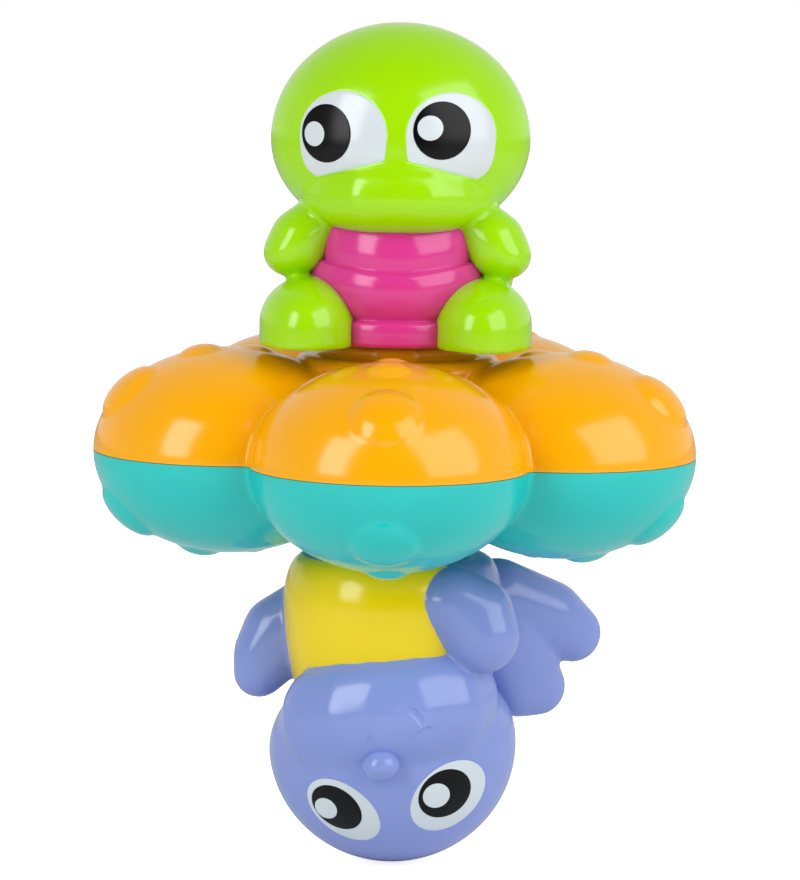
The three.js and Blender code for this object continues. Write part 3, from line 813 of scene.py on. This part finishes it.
class TOY_OT_turtle_belly(bpy.types.Operator):
    """Model the turtle's banded belly"""
    bl_idname = "toy.turtle_belly"
    bl_label = "Turtle Belly"

    def execute(self, context):
        belly = spun(TURTLE_BELLY_PROFILE)
        apply_modifier(belly, "BEVEL", width=TURTLE_BAND_ROUND * MM, segments=2, limit_method="ANGLE",
                       angle_limit=math.radians(TURTLE_BAND_ANGLE))
        wall = [(radius - TURTLE_BELLY_WALL, height) for radius, height in TURTLE_BELLY_PROFILE]
        low, high = TURTLE_BELLY_HOLLOW
        combine(belly, spun([(wall[0][0], low), *wall[1:-1], (wall[-1][0], high)]), "DIFFERENCE")
        belly.scale = (1, TURTLE_BELLY_DEPTH, 1)
        settle(belly)
        slice_off(belly, (0, TURTLE_BELLY_BACK, 0), (0, 1, 0))
        self.sag(belly)
        dress(sit_upright(belly), "turtle_belly_skin", "pink", "turtle", "pink_abs", "turtle_belly_plate")
        return {"FINISHED"}

    def sag(self, belly):
        """Lifts the bands towards the sides, so that they hang down in the middle."""
        low, high = TURTLE_BELLY_SAG["from"], TURTLE_BELLY_SAG["to"]
        for vertex in belly.data.vertices:
            share = min(max((vertex.co.z / MM - low) / (high - low), 0), 1)
            vertex.co.z += share * TURTLE_BELLY_SAG["rise"] * MM * (vertex.co.x / MM / TURTLE_BELLY_SAG["width"]) ** 2


def eye_set(figure, head, stand, outlines):
    """The white, pupil and glint of both eyes, laid on a figure's head, which is used up."""
    low = EYE_LIFT - size_of("eye_sink")
    for side, word in ((1, "left"), (-1, "right")):
        layers = (("eye_white", "white", EYE_DEPTH, (f"{figure}_{word}_eye",)),
                  ("pupil", "black", PRINT_DEPTH, ()),
                  ("glint", "white", PRINT_DEPTH, ()))
        for rank, ((kind, colour, depth, nodes), edge) in enumerate(zip(layers, outlines(side))):
            piece = eye_layer(edge, head, low + rank * size_of("print_lift"), depth)
            dress(stand(piece), f"{figure}_{word}_{kind}", colour, figure, "white_abs", *nodes)
    bpy.data.objects.remove(head, do_unlink=True)


class TOY_OT_turtle_eyes(bpy.types.Operator):
    """Model the turtle's eyes and their printed pupils"""
    bl_idname = "toy.turtle_eyes"
    bl_label = "Turtle Eyes"

    def execute(self, context):
        eye_set("turtle", ball(TURTLE_HEAD, PRINT_RINGS), sit_upright, self.outlines)
        return {"FINISHED"}

    def outlines(self, side):
        """The edges of one eye's white, pupil and glint."""
        return turtle_eye_edge(side), oval(*TURTLE_PUPILS[side]), oval(*TURTLE_GLINTS[side])


def tilted(piece):
    """Turns a form with the seal's tilted head."""
    return turn_about(piece, SEAL_HEAD["at"], "Y", SEAL_HEAD_TILT)


def seal_torso(grow):
    """The seal's barrel of a body, with its shoulder rounded towards the float."""
    torso = spun([(radius + grow, height) for radius, height in SEAL_TORSO_PROFILE])
    torso.scale = (1, SEAL_TORSO_DEPTH, 1)
    return settle(torso)


class TOY_OT_seal(bpy.types.Operator):
    """Model the seal's two skins and its tail fin"""
    bl_idname = "toy.seal"
    bl_label = "Seal Skin"

    def execute(self, context):
        face = fuse("seal_face", [ball(SEAL_HEAD, SKIN_RINGS), hull(SEAL_MUZZLE)], rounds=SEAL_FACE_SMOOTH)
        forms = [tilted(face)]
        forms += [fuse("seal_arm", [hull(arm)], rounds=LIMB_SMOOTH) for arm in (SEAL_LEFT_ARM, SEAL_RIGHT_ARM)]
        forms.append(seal_torso(-SEAL_PLATE_PROUD))
        skin = base_well(fuse("seal_skin", forms))
        combine(skin, tilted(ball(SEAL_NOSE)), "UNION")
        head = tilted(ball(SEAL_HEAD, PRINT_RINGS))
        for side in (1, -1):
            eye_seat(skin, seal_print(SEAL_EYES[side], side), head)
        bpy.data.objects.remove(head, do_unlink=True)
        for line in (SEAL_MOUTH, SEAL_DIMPLE, SEAL_PHILTRUM):
            groove(skin, line)
        front, back = split_skin(skin, SEAL_SPLIT, "seal_front", "seal_back")
        screw_holes(back, SEAL_SPLIT, SEAL_SCREWS)
        dress(hang_below(front), "seal_front_skin", "lavender", "seal", "lavender_abs", "seal_front_shell")
        dress(hang_below(back), "seal_back_skin", "lavender", "seal", "lavender_abs", "seal_back_shell")
        tail = fuse("seal_tail", [hull(TAIL_OUTER), hull(TAIL_INNER)], rounds=LIMB_SMOOTH)
        turn_about(tail, (0, 0, 0), "Z", TAIL_TURN)
        dress(hang_below(tail), "seal_tail_skin", "lavender", "seal", "lavender_abs", "seal_tail_fin")
        return {"FINISHED"}


class TOY_OT_seal_belly(bpy.types.Operator):
    """Model the seal's belly plate"""
    bl_idname = "toy.seal_belly"
    bl_label = "Seal Belly"

    def execute(self, context):
        belly = seal_torso(0)
        first, last = (math.radians(heading) for heading in SEAL_PLATE_HEADINGS)
        for point, normal in (((0, 0, SEAL_PLATE_BOTTOM), (0, 0, -1)), ((0, 0, SEAL_PLATE_TOP), (0, 0, 1)),
                              ((0, 0, 0), (math.cos(last), math.sin(last), 0)),
                              ((0, 0, 0), (-math.cos(first), -math.sin(first), 0))):
            slice_off(belly, point, normal, fill=False)
        apply_modifier(belly, "SUBSURF", levels=2, render_levels=2)
        apply_modifier(belly, "SOLIDIFY", thickness=SEAL_PLATE_WALL * MM, offset=-1)
        dress(hang_below(belly), "seal_belly_skin", "yellow", "seal", "yellow_abs", "seal_belly_plate")
        return {"FINISHED"}


def seal_print(place, side):
    """An outline: one of the seal's slanted ovals, turned with its tilted head."""
    x, z, half_x, half_z = place
    tilt = math.radians(SEAL_HEAD_TILT)
    rise = z - SEAL_HEAD["at"][2]
    across = x * math.cos(tilt) + rise * math.sin(tilt)
    up = SEAL_HEAD["at"][2] - x * math.sin(tilt) + rise * math.cos(tilt)
    return oval(across, up, half_x, half_z, side * SEAL_EYE_SLANT + SEAL_HEAD_TILT)


class TOY_OT_seal_eyes(bpy.types.Operator):
    """Model the seal's eyes and their printed pupils"""
    bl_idname = "toy.seal_eyes"
    bl_label = "Seal Eyes"

    def execute(self, context):
        eye_set("seal", tilted(ball(SEAL_HEAD, PRINT_RINGS)), hang_below, self.outlines)
        return {"FINISHED"}

    def outlines(self, side):
        """The edges of one eye's white, pupil and glint."""
        return [seal_print(places[side], side) for places in (SEAL_EYES, SEAL_PUPILS, SEAL_GLINTS)]


class TOY_OT_hardware(bpy.types.Operator):
    """Give the CAD hardware its finishes"""
    bl_idname = "toy.hardware"
    bl_label = "Hardware"

    def execute(self, context):
        steel = hardware("turned_stainless_steel", STEEL)
        acetal = hardware("moulded_acetal_painted_shade", SHADE_BLACK_ACETAL)
        rubber = hardware("black_nitrile_rubber", RUBBER)
        for name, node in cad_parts.items():
            if "screw" in name or "retaining" in name:
                finish = steel
            elif "spindle_seal" in name:
                finish = rubber
            # The spindles and thrust washers take the near-black acetal, which is partly painted shade for the dark gap
            # under each figure
            elif "spindle" in name or "thrust" in name:
                finish = acetal
            elif name in ("turtle_base", "seal_base"):
                finish = finish_of("lime" if name == "turtle_base" else "lavender")
            else:
                continue
            node.data.materials.clear()
            node.data.materials.append(finish)
        return {"FINISHED"}


def sphere_point(azimuth, elevation, distance):
    """A point round the toy: azimuth from the front towards the viewer's right, in degrees."""
    turn, rise = math.radians(azimuth), math.radians(elevation)
    return Vector((math.sin(turn) * math.cos(rise), -math.cos(turn) * math.cos(rise), math.sin(rise))) * distance


class TOY_OT_stage(bpy.types.Operator):
    """Set the floor, the lights and the camera"""
    bl_idname = "toy.stage"
    bl_label = "Studio Stage"

    def execute(self, context):
        self.floor()
        self.world()
        for lamp in LAMPS:
            self.lamp(**lamp)
        self.camera()
        context.scene.view_settings.view_transform = "Standard"
        return {"FINISHED"}

    def floor(self):
        """A pale matt sweep under the toy."""
        clear_selection()
        bpy.ops.mesh.primitive_plane_add(size=FLOOR_SIZE, location=(0, 0, CAD_BOX[0][2] - FLOOR_GAP * MM))
        floor = bpy.context.object
        floor.name = "studio_floor"
        paper = bpy.data.materials.new("white_paper_sweep")
        paper.use_nodes = True
        tree = paper.node_tree
        shader = tree.nodes["Principled BSDF"]
        # Seen straight on, the paper is lifted to the white of the surroundings and keeps the toy's shadow
        path = add_node(tree, "ShaderNodeLightPath")
        lift = add_node(tree, "ShaderNodeMapRange", {"To Max": FLOOR_LIFT}, Value=path.outputs["Is Camera Ray"])
        tree.links.new(lift.outputs["Result"], shader.inputs["Emission Strength"])
        shader.inputs["Emission Color"].default_value = (1, 1, 1, 1)
        shader.inputs["Base Color"].default_value = (PAPER_WHITE, PAPER_WHITE, PAPER_WHITE, 1)
        shader.inputs["Roughness"].default_value = PAPER_ROUGHNESS
        shader.inputs["Specular IOR Level"].default_value = 0.0
        floor.data.materials.append(paper)

    def world(self):
        """White cloth behind and below the toy, in a room that is dim overhead and behind the camera."""
        world = bpy.data.worlds.new("light_tent")
        bpy.context.scene.world = world
        world.use_nodes = True
        tree = world.node_tree
        backdrop = tree.nodes["Background"]
        path = add_node(tree, "ShaderNodeLightPath")
        place = add_node(tree, "ShaderNodeTexCoord")
        cloth = add_node(tree, "ShaderNodeVectorMath", {"operation": "DOT_PRODUCT"}, Vector=place.outputs["Generated"])
        cloth.inputs[1].default_value = CLOTH_SIDE
        room = add_node(tree, "ShaderNodeMapRange", {"From Min": CLOTH_EDGE[0], "From Max": CLOTH_EDGE[1],
                                                     "To Min": ROOM_DIM, "To Max": ROOM_WHITE},
                        Value=cloth.outputs["Value"])
        strength = add_node(tree, "ShaderNodeMapRange", {"To Max": 1.0}, Value=path.outputs["Is Camera Ray"])
        tree.links.new(room.outputs["Result"], strength.inputs["To Min"])
        backdrop.inputs["Color"].default_value = (1, 1, 1, 1)
        tree.links.new(strength.outputs["Result"], backdrop.inputs["Strength"])

    def lamp(self, name, azimuth, elevation, size, watts):
        """A rectangular softbox that faces the toy."""
        data = bpy.data.lights.new(name, "AREA")
        data.shape = "RECTANGLE"
        data.size, data.size_y = size
        data.energy = watts
        lamp = bpy.data.objects.new(name, data)
        bpy.context.scene.collection.objects.link(lamp)
        lamp.location = sphere_point(azimuth, elevation, LAMP_DISTANCE)
        lamp.rotation_euler = (-lamp.location).to_track_quat("-Z", "Y").to_euler()

    def camera(self):
        """The photograph's view: a long lens, a little above the waterline."""
        data = bpy.data.cameras.new("photo_camera")
        data.sensor_fit = "HORIZONTAL"
        data.sensor_width = SENSOR
        data.lens = FOCAL_PIXELS / PHOTO_SIZE[0] * SENSOR
        data.shift_x = (PHOTO_SIZE[0] / 2 - ORIGIN_PIXEL[0]) / PHOTO_SIZE[0]
        data.shift_y = (ORIGIN_PIXEL[1] - PHOTO_SIZE[1] / 2) / PHOTO_SIZE[0]
        camera = bpy.data.objects.new("photo_camera", data)
        bpy.context.scene.collection.objects.link(camera)
        place = sphere_point(CAMERA_AZIMUTH, CAMERA_ELEVATION, CAMERA_DISTANCE * MM)
        look = (-place).to_track_quat("-Z", "Y").to_matrix()
        roll = Matrix.Rotation(math.radians(CAMERA_ROLL), 3, "Z")
        camera.location = place
        camera.rotation_euler = (look @ roll).to_euler()
        bpy.context.scene.camera = camera


class TOY_PT_sidebar(bpy.types.Panel):
    """Lists the steps that build the toy"""
    bl_label = "Bath Toy"
    bl_space_type = "VIEW_3D"
    bl_region_type = "UI"
    bl_category = "Bath Toy"

    def draw(self, context):
        for step in STEPS:
            self.layout.operator(step.bl_idname)
        for group in (context.scene.toy_colours, context.scene.toy_sizes):
            for name in group.__annotations__:
                self.layout.prop(group, name)


STEPS = (TOY_OT_float, TOY_OT_turtle, TOY_OT_turtle_belly, TOY_OT_turtle_eyes, TOY_OT_seal, TOY_OT_seal_belly,
         TOY_OT_seal_eyes, TOY_OT_hardware, TOY_OT_stage)
CLASSES = (ToyColours, ToySizes, *STEPS, TOY_PT_sidebar)


def register():
    """Adds the classes and the scene's settings."""
    for cls in CLASSES:
        bpy.utils.register_class(cls)
    bpy.types.Scene.toy_colours = PointerProperty(type=ToyColours)
    bpy.types.Scene.toy_sizes = PointerProperty(type=ToySizes)


def unregister():
    """Takes the classes and the scene's settings away."""
    del bpy.types.Scene.toy_sizes
    del bpy.types.Scene.toy_colours
    for cls in reversed(CLASSES):
        bpy.utils.unregister_class(cls)


def main():
    """Builds the toy."""
    register()
    bpy.ops.toy.float()
    bpy.ops.toy.turtle()
    bpy.ops.toy.turtle_belly()
    bpy.ops.toy.turtle_eyes()
    bpy.ops.toy.seal()
    bpy.ops.toy.seal_belly()
    bpy.ops.toy.seal_eyes()
    bpy.ops.toy.hardware()
    bpy.ops.toy.stage()


if __name__ == "__main__":
    main()
